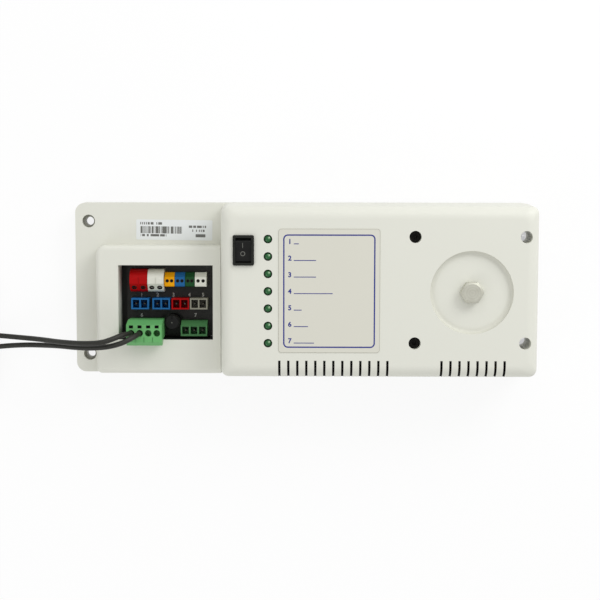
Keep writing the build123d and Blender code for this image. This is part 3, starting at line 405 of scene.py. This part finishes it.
def lamp_finish_made():
    """Green tinted resin, with painted shade towards each dome's rim and a painted highlight up and to the
    right of its middle.
    """
    resin, rim_shade, painted_highlight_colour = (0.012, 0.115, 0.028), (0.004, 0.042, 0.011), (0.22, 0.36, 0.20)
    clear_radius, rim_radius = 1.1, 2.5
    glint_offset, glint_radius, glint_core = 0.75, 1.0, 0.3
    least_roughness, roughness_spread = 0.06, 0.08
    material, tree, shader = new_finish("lamp_green")
    where = object_place(tree)
    parts = split(tree, where)
    across = sums(tree, "SUBTRACT", parts["X"], lamp_x * mm)
    from_first = sums(tree, "SUBTRACT", parts["Y"], first_lamp_y * mm)
    along = sums(tree, "WRAP", from_first, lamp_pitch / 2 * mm, -lamp_pitch / 2 * mm)
    # Painted shade towards each dome's rim
    rim = ramp(tree, distance(tree, across, along), clear_radius * mm, rim_radius * mm, kind="LINEAR")
    from_glint_x = sums(tree, "SUBTRACT", across, glint_offset * mm)
    from_glint_y = sums(tree, "SUBTRACT", along, glint_offset * mm)
    # Painted highlight up and to the right of each dome's middle
    painted_highlight = ramp(tree, distance(tree, from_glint_x, from_glint_y), glint_radius * mm, glint_core * mm)
    dome = blend_colours(tree, rim, resin, rim_shade)
    colour = blend_colours(tree, painted_highlight, dome, painted_highlight_colour)
    grain = noise(tree, where, Scale=900.0, Detail=3.0)
    rough = sums(tree, "MULTIPLY_ADD", grain, roughness_spread, least_roughness)
    feed(tree, colour, shader.inputs["Base Color"])
    feed(tree, rough, shader.inputs["Roughness"])
    shader.inputs["Specular IOR Level"].default_value = 0.35
    shader.inputs["Coat Weight"].default_value = 0.2
    shader.inputs["Coat Roughness"].default_value = 0.03
    return material


def housing_skin(tree):
    """The off-white plastic that the housing and the cover are both moulded in."""
    return use(tree, moulded_skin, Colour=(0.757, 0.760, 0.682), Shade=(0.731, 0.733, 0.658), Mottle=0.5,
               Roughness=0.44, Roughness_spread=0.1, Grain=2300.0)


housing_relief = 0.16


def housing_finish_made():
    """The housing's plastic, with painted shade that grows towards the bottom of the two screw holes."""
    hole_x, hole_y, hole_radius = -141.0, 43.7, 4.9
    hole_shade_start, hole_shade_full, painted_shade_colour = 10.4, 7.4, (0.40, 0.40, 0.345)
    material, tree, shader = new_finish("housing_plastic")
    parts = split(tree, object_place(tree))
    from_hole_x = sums(tree, "SUBTRACT", parts["X"], hole_x * mm)
    from_hole_y = sums(tree, "SUBTRACT", sums(tree, "ABSOLUTE", parts["Y"]), hole_y * mm)
    in_hole = sums(tree, "LESS_THAN", squares(tree, from_hole_x, from_hole_y), (hole_radius * mm) ** 2)
    # Painted shade on the screw holes' walls, darker towards their bottom
    hole_shade = all_of(tree, in_hole, ramp(tree, parts["Z"], hole_shade_start * mm, hole_shade_full * mm))
    skin = housing_skin(tree)
    colour = blend_colours(tree, hole_shade, skin["Colour"], painted_shade_colour)
    surface(tree, shader, colour, skin["Roughness"], skin["Height"], housing_relief)
    return material


# The middle of the first slot in each run of slots in the cover, and the number of slots in the run
slot_runs = ((-15.3, 13), (87.3, 8))
slot_pitch = 5.7


def recess_dust(tree, parts):
    """Painted shade, broken up by noise, where the round recess curves down from the cover's top."""
    recess_shade_start, recess_shade_full, recess_radius = 21.8, 25.2, 26.6
    highest, lowest = 45.97, 42.5
    recess_shade_least, recess_shade_spread = 0.9, 0.2
    from_bolt = sums(tree, "SUBTRACT", parts["X"], bolt_x * mm)
    across = squares(tree, from_bolt, parts["Y"])
    rise = ramp(tree, sums(tree, "SQRT", across), recess_shade_start * mm, recess_shade_full * mm)
    below = sums(tree, "LESS_THAN", parts["Z"], highest * mm)
    inside = sums(tree, "LESS_THAN", across, (recess_radius * mm) ** 2)
    above = sums(tree, "GREATER_THAN", parts["Z"], lowest * mm)
    clouds = noise(tree, object_place(tree), Scale=90.0, Detail=4.0)
    uneven = sums(tree, "MULTIPLY_ADD", clouds, recess_shade_spread, recess_shade_least)
    return all_of(tree, rise, below, inside, above, uneven)


def slot_grime(tree, parts):
    """Painted shade on the walls of the slots that run over the cover's rolled edge."""
    wall, edge = 0.68, 0.84
    edge_y, edge_z = -43.4, 35.9
    runs = []
    for first_slot, count in slot_runs:
        reach = (count - 1) * slot_pitch / 2
        from_first = sums(tree, "SUBTRACT", parts["X"], first_slot * mm)
        off_centre = sums(tree, "WRAP", from_first, slot_pitch / 2 * mm, -slot_pitch / 2 * mm)
        dark = ramp(tree, sums(tree, "ABSOLUTE", off_centre), edge * mm, wall * mm)
        in_run = sums(tree, "COMPARE", from_first, reach * mm, (reach + slot_pitch / 2) * mm)
        runs.append(all_of(tree, dark, in_run))
    beside = sums(tree, "LESS_THAN", parts["Y"], edge_y * mm)
    above = sums(tree, "GREATER_THAN", parts["Z"], edge_z * mm)
    return all_of(tree, any_of(tree, *runs), beside, above)


def cover_finish_made():
    """The housing's plastic, with painted shade round the recess and on the slots' walls."""
    recess_shade_colour, painted_shade_colour = (0.675, 0.675, 0.595), (0.012, 0.012, 0.011)
    material, tree, shader = new_finish("cover_plastic")
    parts = split(tree, object_place(tree))
    skin = housing_skin(tree)
    # Painted shade round the recess, then on the slots' walls
    recess_shaded = blend_colours(tree, recess_dust(tree, parts), skin["Colour"], recess_shade_colour)
    colour = blend_colours(tree, slot_grime(tree, parts), recess_shaded, painted_shade_colour)
    surface(tree, shader, colour, skin["Roughness"], skin["Height"], housing_relief)
    return material


def insulation_finish_made():
    """Soft black insulation with a satin sheen and a trace of dust."""
    material, tree, shader = new_finish("lead_black")
    skin = use(tree, moulded_skin, Colour=(0.012, 0.0125, 0.010), Shade=(0.022, 0.0225, 0.018), Mottle=0.6,
               Roughness=0.40, Roughness_spread=0.2, Grain=1500.0)
    film = use(tree, settled_dust, Colour=skin["Colour"], Roughness=skin["Roughness"], Amount=0.05)
    surface(tree, shader, film["Colour"], film["Roughness"], skin["Height"], 0.25, depth=0.1)
    shader.inputs["Specular IOR Level"].default_value = 0.25
    return material


def ferrule_finish_made():
    """Black collar, then a tinned sleeve with crimp marks."""
    collar_end_x, ridge_rate = -237.4, 5200.0
    collar_black, tin, tin_stain = (0.02, 0.02, 0.02), (0.70, 0.69, 0.66), (0.5, 0.47, 0.40)
    material, tree, shader = new_finish("tinned_copper")
    where = object_place(tree)
    along = split(tree, where)["X"]
    sleeve = sums(tree, "LESS_THAN", along, collar_end_x * mm)
    marks = use(tree, turned_metal, Place=where, Colour=tin, Stain=tin_stain, Roughness=0.22, Pitch=2000.0)
    ridges = sums(tree, "SINE", sums(tree, "MULTIPLY", along, ridge_rate))
    colour = blend_colours(tree, sleeve, collar_black, marks["Colour"])
    surface(tree, shader, colour, marks["Roughness"], all_of(tree, ridges, sleeve), 0.5, depth=0.1)
    feed(tree, sleeve, shader.inputs["Metallic"])
    return material


# Each field of print on the sticker: its left, right, low and high edge about the sticker's middle, the
# width of its stripes, and the share of them that stays bare
sticker_fields = (
    (-22.3, 5.0, -2.4, 2.2, 0.33, 0.36),
    (-22.3, -8.0, 3.3, 4.9, 0.62, 0.30),
    (-22.0, -5.2, -4.4, -2.9, 0.62, 0.30),
    (9.5, 20.8, 1.5, 3.0, 0.62, 0.35),
    (11.2, 20.0, -1.1, 0.4, 0.62, 0.35),
    (14.0, 20.4, -4.6, -2.6, 0.2, 0.0),
)
sticker_turn = -0.7


def sticker_finish_made():
    """Silver film with printed bars and stripes, in the sticker's own turned frame."""
    ink_colour = (0.045, 0.042, 0.028)
    worn_least, worn_spread = 0.62, 0.5
    sticker_x, sticker_y, _ = middle("rating_sticker")
    material, tree, shader = new_finish("silver_film")
    where = object_place(tree)
    turned = node(tree, "ShaderNodeMapping", vector_type="TEXTURE", Vector=where,
                  Location=place(sticker_x, sticker_y, 0), Rotation=(0, 0, radians(sticker_turn)))
    own = turned.outputs["Vector"]
    along = split(tree, own)["X"]
    fields = []
    for left, right, low, high, stripe, bare in sticker_fields:
        field = use(tree, printed_patch, Place=own, Left=left * mm, Right=right * mm, Low=low * mm,
                    High=high * mm)
        column = sums(tree, "FLOOR", sums(tree, "DIVIDE", along, stripe * mm))
        own_start = 40.0 * low
        chance = node(tree, "ShaderNodeTexWhiteNoise", noise_dimensions="1D")
        feed(tree, sums(tree, "ADD", column, own_start), chance.inputs["W"])
        stripes = sums(tree, "GREATER_THAN", chance.outputs["Value"], bare)
        fields.append(all_of(tree, field["Mask"], stripes))
    specks = noise(tree, where, Scale=2600.0, Detail=3.0)
    worn = sums(tree, "MULTIPLY_ADD", specks, worn_spread, worn_least, clamp=True)
    ink = all_of(tree, any_of(tree, *fields), worn)
    skin = use(tree, moulded_skin, Colour=(0.815, 0.840, 0.835), Shade=(0.75, 0.775, 0.77), Mottle=0.6,
               Roughness=0.33, Roughness_spread=0.1, Grain=3500.0)
    colour = blend_colours(tree, ink, skin["Colour"], ink_colour)
    surface(tree, shader, colour, skin["Roughness"], skin["Height"], 0.08)
    return material


glowing_well_floor_finish = well_floor_finish_made()
lamp_finish = lamp_finish_made()
silver_finish = sticker_finish_made()
housing_finish = housing_finish_made()
cover_finish = cover_finish_made()
insulation_finish = insulation_finish_made()
ferrule_finish = ferrule_finish_made()

node_finishes = {
    "base_housing": housing_finish, "front_cover": cover_finish, "rear_plate": steel_finish,
    "plate_screws": black_steel_finish, "front_label": label_finish, "rating_sticker": silver_finish,
    "cover_pillars": steel_finish, "cover_screws": black_steel_finish, "transformer_ring": tape_finish,
    "transformer_pads": rubber_finish, "pressure_disc": steel_finish, "bolt_washer": bolt_finish,
    "clamp_bolt": bolt_finish, "clamp_nut": bolt_finish, "switch_housing": black_finish,
    "switch_rocker": gloss_black_finish, "switch_blades": tin_finish, "main_board": board_finish,
    "socket_board": dark_board_finish, "led_board": board_finish, "board_spacers": steel_finish,
    "board_screws": steel_finish, "status_leds": lamp_finish, "led_ribbon": ribbon_finish,
    "capacitors": sleeve_finish, "relays": black_finish, "heatsink": aluminium_finish,
    "power_transistors": black_finish, "controller_chip": black_finish,
    "header_three_way": dark_green_finish, "header_four_way": dark_green_finish,
    "header_pins": tin_finish, "connector_panel": panel_finish, "fuse_holder": black_finish,
    "fuse_link": porcelain_finish, "fuse_cap": gloss_black_finish, "plug_body": plug_finish,
    "terminal_red": red_finish, "terminal_white": pale_finish, "terminal_yellow": yellow_finish,
    "terminal_blue": blue_finish, "terminal_green": green_finish,
    "terminal_small_white": small_pale_finish, "socket_blue_outer": blue_finish,
    "socket_blue_inner": blue_finish, "socket_red": red_finish, "socket_grey": socket_grey_finish,
    "lead_one_ferrule": ferrule_finish, "lead_two_ferrule": ferrule_finish,
}
for name, finish in node_finishes.items():
    for material_slot in nodes[name].material_slots:
        material_slot.material = finish


# Leads, on the same route as the solids
lead_one_route = [
    (-110.75, -27.6, 26.0), (-110.75, -27.6, 37.0), (-114.3, -27.2, 44.5), (-120.5, -29.7, 50.1),
    (-127.1, -31.7, 52.3), (-136.7, -32.5, 50.0), (-147.3, -32.6, 45.2), (-158.0, -32.7, 37.4),
    (-168.6, -32.6, 27.6), (-180.0, -32.7, 18.6), (-193.0, -32.6, 11.0), (-203.6, -32.2, 7.2),
    (-214.6, -31.55, 5.7),
]
lead_two_route = [
    (-105.25, -27.6, 26.0), (-105.25, -27.6, 37.4), (-109.4, -29.8, 44.0), (-114.6, -32.5, 46.8),
    (-123.7, -34.9, 47.6), (-134.7, -35.9, 45.2), (-145.4, -36.1, 40.4), (-157.0, -35.9, 33.3),
    (-168.0, -36.6, 24.6), (-180.0, -37.3, 16.4), (-193.0, -38.5, 10.2), (-203.6, -39.8, 7.0),
    (-214.6, -40.45, 5.7),
]
lead_size = 3.4
plug_ways = [-110.75 + 5.5 * way for way in range(4)]
plug_top = 34.0
coil_x = -228.0
coil_one_y = -10.0
coil_two_y = -62.0
coil_least_radius = 13.5
coil_growth = 4.6
coil_high = 5.7
coil_low = lead_size / 2
turns_each_way = 1.75
turns_down = 0.5
points_each_turn = 16
ferrule_start_x = -231.4


def coil_places(centre_y, sense):
    """In on the upper layer, down over half a turn, and out on the ground."""
    places = []
    swell = 1 / cos(pi / points_each_turn)
    steps = round((2 * turns_each_way + turns_down) * points_each_turn)
    for step in range(steps + 1):
        turns = step / points_each_turn
        beyond = turns - turns_each_way
        if beyond <= 0:
            radius, z = coil_least_radius - coil_growth * beyond, coil_high
        elif beyond <= turns_down:
            share = beyond / turns_down
            fall = share * share * (3 - 2 * share)
            radius, z = coil_least_radius, coil_high - (coil_high - coil_low) * fall
        else:
            radius, z = coil_least_radius + coil_growth * (beyond - turns_down), coil_low
        angle = sense * (pi / 2 + 2 * pi * turns)
        places.append((coil_x + swell * radius * cos(angle), centre_y + swell * radius * sin(angle), z))
    return places


def lead(name, route, centre_y, sense):
    """One black lead, out of its hole in the plug and put away in a coil."""
    exit_y = centre_y + sense * (coil_least_radius + coil_growth * turns_each_way)
    places = route + coil_places(centre_y, sense) + [(ferrule_start_x, exit_y, coil_low)]
    deselect()
    bpy.ops.curve.primitive_nurbs_path_add(location=(0, 0, 0))
    piece = bpy.context.active_object
    piece.name = name + "_insulated"
    curve = piece.data
    curve.splines.clear()
    line = curve.splines.new("NURBS")
    line.points.add(len(places) - 1)
    for point, spot in zip(line.points, places):
        point.co = place(*spot) + (1.0,)
    line.order_u = 3
    line.use_endpoint_u = True
    curve.resolution_u = 6
    curve.bevel_depth = lead_size / 2 * mm
    curve.bevel_resolution = 5
    curve.use_fill_caps = True
    curve.dimensions = "3D"
    curve.materials.append(insulation_finish)
    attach(piece, "housing")
    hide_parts(name, name + "_coil")


lead("lead_one", lead_one_route, coil_one_y, -1)
lead("lead_two", lead_two_route, coil_two_y, 1)


# Thin plates and print
film_thickness = 0.04
figure_share = 0.72


def print_shape(name, spot, finish, size, corner, line_width=None, body="housing", tilt=0.0):
    """Thin shape with round corners: a frame or ring of one line width, or a full plate or bar."""
    deselect()
    bpy.ops.mesh.primitive_plane_add(size=1, location=(0, 0, 0))
    piece = bpy.context.active_object
    piece.scale = (size[0] * mm, size[1] * mm, 1)
    settle(piece)
    edit(piece)
    bpy.ops.mesh.select_all(action="SELECT")
    bpy.ops.mesh.bevel(offset=corner * mm, segments=10, affect="VERTICES")
    bpy.ops.mesh.select_all(action="SELECT")
    if line_width:
        bpy.ops.mesh.inset(thickness=line_width * mm)
        bpy.ops.mesh.delete(type="FACE")
        bpy.ops.mesh.select_all(action="SELECT")
    bpy.ops.mesh.extrude_region_move(TRANSFORM_OT_translate={"value": (0, 0, film_thickness * mm)})
    bpy.ops.mesh.select_all(action="SELECT")
    bpy.ops.mesh.normals_make_consistent(inside=False)
    leave_edit()
    piece.rotation_euler = (radians(tilt), 0, 0)
    piece.location = place(*spot)
    hand_over(piece, name, body, finish)


def numeral(stem, number, spot, finish, height, heavy, align="LEFT"):
    """Printed numeral of a given height, lying flat on its spot, with its strokes made heavier."""
    deselect()
    bpy.ops.object.text_add(location=(0, 0, 0))
    piece = bpy.context.active_object
    piece.data.body = str(number)
    piece.data.size = height * mm / figure_share
    piece.data.align_x = align
    piece.data.align_y = "CENTER"
    piece.data.extrude = film_thickness / 2 * mm
    piece.data.offset = heavy * mm
    piece.data.resolution_u = 6
    bpy.ops.object.convert(target="MESH")
    piece = bpy.context.active_object
    piece.location = place(spot[0], spot[1], spot[2] + film_thickness / 2)
    hand_over(piece, "%s_%d" % (stem, number), "housing", finish)


# Front label: its frame, its edge, and a numeral with a ruled line beside each lamp
label_x, label_y, _ = middle("front_label")
label_top = top("front_label")
number_x = -9.8
first_number_y = 31.85
text_pitch = 10.45
rule_x = -6.2
rule_drop = 1.3
rule_lengths = (3.2, 14.0, 14.0, 24.5, 5.0, 9.0, 12.8)

print_shape("label_frame", (label_x, label_y - 0.2, label_top), blue_ink_finish,
            size=(58.0, 71.7), corner=3.0, line_width=0.85)
print_shape("label_edge", (label_x, label_y, label_top), edge_ink_finish,
            size=(63.9, 78.2), corner=1.9, line_width=0.17)
for number, rule in enumerate(rule_lengths, start=1):
    y = first_number_y - text_pitch * (number - 1)
    numeral("label_number", number, (number_x, y, label_top), blue_ink_finish,
            height=3.1, heavy=0.15)
    print_shape("label_rule_%d" % number, (rule_x + rule / 2, y - rule_drop, label_top), blue_ink_finish,
                size=(rule, 0.5), corner=0.1)

# Terminal panel: five numerals in the row below the terminals, and two in the lower row
panel_top = top("connector_panel")
upper_row_y = -4.9
lower_row_y = -18.4
panel_places = [(x, upper_row_y) for x in (-107.0, -96.5, -86.0, -75.5, -66.5)]
panel_places += [(x, lower_row_y) for x in (-107.0, -71.5)]
for number, (x, y) in enumerate(panel_places, start=1):
    numeral("panel_number", number, (x, y, panel_top), grey_ink_finish, height=2.4,
            heavy=0.09, align="CENTER")

# Black sheet under the terminals, with one edge turned up along the window's lower wall: painted shade in
# the gaps round the panel and on that wall
print_shape("shade_sheet", (-90.0, -8.5, 2.02), panel_finish, size=(67.0, 56.0),
            corner=2.0)
print_shape("shade_sheet_edge_low", (-89.65, -32.85, 14.5), panel_finish, size=(61.0, 15.0),
            corner=0.3, tilt=-90.0)

# Dark plates that lie over the plug's release slots, as painted shade in their openings
release_slots_y = -23.45
for number, x in enumerate(plug_ways, start=1):
    print_shape("release_slot_%d" % number, (x, release_slots_y, plug_top - 0.01), opening_shade_finish,
                size=(2.6, 1.9), corner=0.1)

# Pale rings that glow a little on the floors of the two right wells, as painted light for the bright
# ground seen through them
well_x = 140.0
well_floor_z = 20.03
for name, well_y in (("well_floor_high", 35.0), ("well_floor_low", -32.2)):
    print_shape(name, (well_x, well_y, well_floor_z), glowing_well_floor_finish,
                size=(7.5, 7.5), corner=3.74, line_width=2.9)

# Marks on the rocker, whose two faces meet in a dip above its pivot
rocker_pivot_y = 26.4
rocker_pivot_z = 43.6
rocker_throw = 12.0
rocker_dip = 2.6
rocker_slope = 13.574
mark_x = -38.3
mark_lift = 0.02


def rocker_mark(name, along, size, corner, line_width=None):
    """A mark on one of the rocker's faces, at a distance from the line where they meet."""
    up = rocker_dip + abs(along) * tan(radians(rocker_slope)) + mark_lift
    throw = radians(rocker_throw)
    y = rocker_pivot_y + along * cos(throw) - up * sin(throw)
    z = rocker_pivot_z + along * sin(throw) + up * cos(throw)
    print_shape(name, (mark_x, y, z), rocker_ink_finish, size=size, corner=corner,
                line_width=line_width, body="rocker", tilt=rocker_throw + copysign(rocker_slope, along))


rocker_mark("rocker_bar", along=4.0, size=(0.34, 3.5), corner=0.1)
rocker_mark("rocker_ring", along=-1.55, size=(3.0, 3.0), corner=1.49, line_width=0.4)

# Dot in the middle of the fuse cap
cap_x, cap_y, _ = middle("fuse_cap")
print_shape("cap_dot", (cap_x, cap_y, top("fuse_cap") + mark_lift), rocker_ink_finish,
            size=(0.8, 0.8), corner=0.39, body="fuse_cap")


# Dark throats in the terminals' wire mouths, as painted shade in and round the mouths, modelled once for
# each size
def throat(name, outer, inner):
    """Flat rim, straight bore and a closed bottom below the mouth."""
    bore_depth, bottom_depth = 1.2, 0.2
    deselect()
    bpy.ops.mesh.primitive_circle_add(vertices=32, radius=outer * mm, fill_type="NGON", location=(0, 0, 0))
    piece = bpy.context.active_object
    piece.name = name
    edit(piece)
    bpy.ops.mesh.select_all(action="SELECT")
    bpy.ops.mesh.inset(thickness=(outer - inner) * mm)
    for depth in (bore_depth, bottom_depth):
        bpy.ops.mesh.extrude_region_move(TRANSFORM_OT_translate={"value": (0, 0, -depth * mm)})
    leave_edit()
    return piece


def put_copies(pattern, spots, tilt):
    """Copies of a pattern piece, each with its own mesh, then the pattern goes."""
    stem = pattern.name
    for number, spot in enumerate(spots, start=1):
        piece = pattern.copy()
        piece.data = pattern.data.copy()
        bpy.context.collection.objects.link(piece)
        piece.rotation_euler = (radians(tilt), 0, 0)
        piece.location = place(*spot)
        hand_over(piece, "%s_%d" % (stem, number), "housing", throat_shade_finish)
    bpy.data.objects.remove(pattern)


def mouth_places(terminals, shares, y, z):
    """Two mouths on each terminal, at shares of its width from its left side."""
    spots = []
    for terminal in terminals:
        low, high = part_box(terminal)
        spots += [((low.x + (high.x - low.x) * share) / mm, y, z) for share in shares]
    return spots


large_terminals = ("terminal_red", "terminal_white")
small_terminals = ("terminal_yellow", "terminal_blue", "terminal_green", "terminal_small_white")
large_mouth_y, large_mouth_z, large_mouth_tilt = 0.61, 17.36, 39.9
small_mouth_y, small_mouth_z = 4.9, 15.83
large_mouths = mouth_places(large_terminals, (0.25, 0.75), large_mouth_y, large_mouth_z)
small_mouths = mouth_places(small_terminals, (0.28, 0.72), small_mouth_y, small_mouth_z)
put_copies(throat("large_throat", outer=1.72, inner=1.25), large_mouths, tilt=large_mouth_tilt)
put_copies(throat("small_throat", outer=1.12, inner=0.72), small_mouths, tilt=0.0)


# Floor, soft boxes, world and camera, in metres and degrees
floor_side = 6.0
floor_drop = 0.0002
softbox_side = 0.6
softbox_distance = 1.2
softbox_rise = 30.0


def floor():
    """Pale ground that looks nearly white and keeps the object's shadow."""
    whiteness = 0.80
    deselect()
    bpy.ops.mesh.primitive_plane_add(size=floor_side, location=(0, 0, -floor_drop))
    sheet = bpy.context.active_object
    sheet.name = "floor"
    material = bpy.data.materials.new("pale_floor")
    material.use_nodes = True
    tree = material.node_tree
    tree.nodes.clear()
    out = node(tree, "ShaderNodeOutputMaterial")
    matt = node(tree, "ShaderNodeBsdfDiffuse", Color=(0.74, 0.74, 0.74))
    white = node(tree, "ShaderNodeEmission", Color=(1.0, 1.0, 1.0), Strength=1.06)
    mix = node(tree, "ShaderNodeMixShader")
    path = node(tree, "ShaderNodeLightPath").outputs
    seen = any_of(tree, path["Is Camera Ray"], path["Is Glossy Ray"], path["Is Transmission Ray"])
    feed(tree, sums(tree, "MULTIPLY", seen, whiteness), mix.inputs[0])
    feed(tree, matt.outputs[0], mix.inputs[1])
    feed(tree, white.outputs[0], mix.inputs[2])
    feed(tree, mix.outputs[0], out.inputs["Surface"])
    sheet.data.materials.append(material)


def softbox(name, azimuth, power):
    """Square area lamp that faces the object from an azimuth."""
    reach = softbox_distance * cos(radians(softbox_rise))
    height = softbox_distance * sin(radians(softbox_rise))
    spot = Vector((reach * cos(radians(azimuth)), reach * sin(radians(azimuth)), height))
    deselect()
    bpy.ops.object.light_add(type="AREA", location=spot)
    made = bpy.context.active_object
    made.name = name
    made.data.size = softbox_side
    made.data.energy = power
    made.rotation_euler = (-spot).to_track_quat("-Z", "Y").to_euler()


def studio_world():
    """Dim light on the object from all sides, before a white background."""
    world = bpy.data.worlds.new("studio")
    bpy.context.scene.world = world
    world.use_nodes = True
    tree = world.node_tree
    tree.nodes.clear()
    out = node(tree, "ShaderNodeOutputWorld")
    dim = node(tree, "ShaderNodeBackground", Color=(1.0, 1.0, 1.0), Strength=0.71)
    bright = node(tree, "ShaderNodeBackground", Color=(1.0, 1.0, 1.0), Strength=1.0)
    mix = node(tree, "ShaderNodeMixShader")
    path = node(tree, "ShaderNodeLightPath").outputs
    feed(tree, path["Is Camera Ray"], mix.inputs[0])
    feed(tree, dim.outputs[0], mix.inputs[1])
    feed(tree, bright.outputs[0], mix.inputs[2])
    feed(tree, mix.outputs[0], out.inputs["Surface"])


floor()
softbox("key_softbox", azimuth=45.0, power=5.5)
softbox("top_softbox", azimuth=90.0, power=1.3)
softbox("low_fill", azimuth=225.0, power=1.7)
studio_world()

camera_spot = (0.003661, 0.065660, 0.862413)
camera_turn = (-4.9352, 0.4247, 0.1024)
deselect()
bpy.ops.object.camera_add(location=camera_spot, rotation=[radians(angle) for angle in camera_turn])
camera = bpy.context.active_object
camera.data.sensor_width = 36.0
camera.data.lens = 78.0
camera.data.clip_start = 0.01
bpy.context.scene.camera = camera
bpy.context.scene.view_settings.view_transform = "Standard"

deselect()
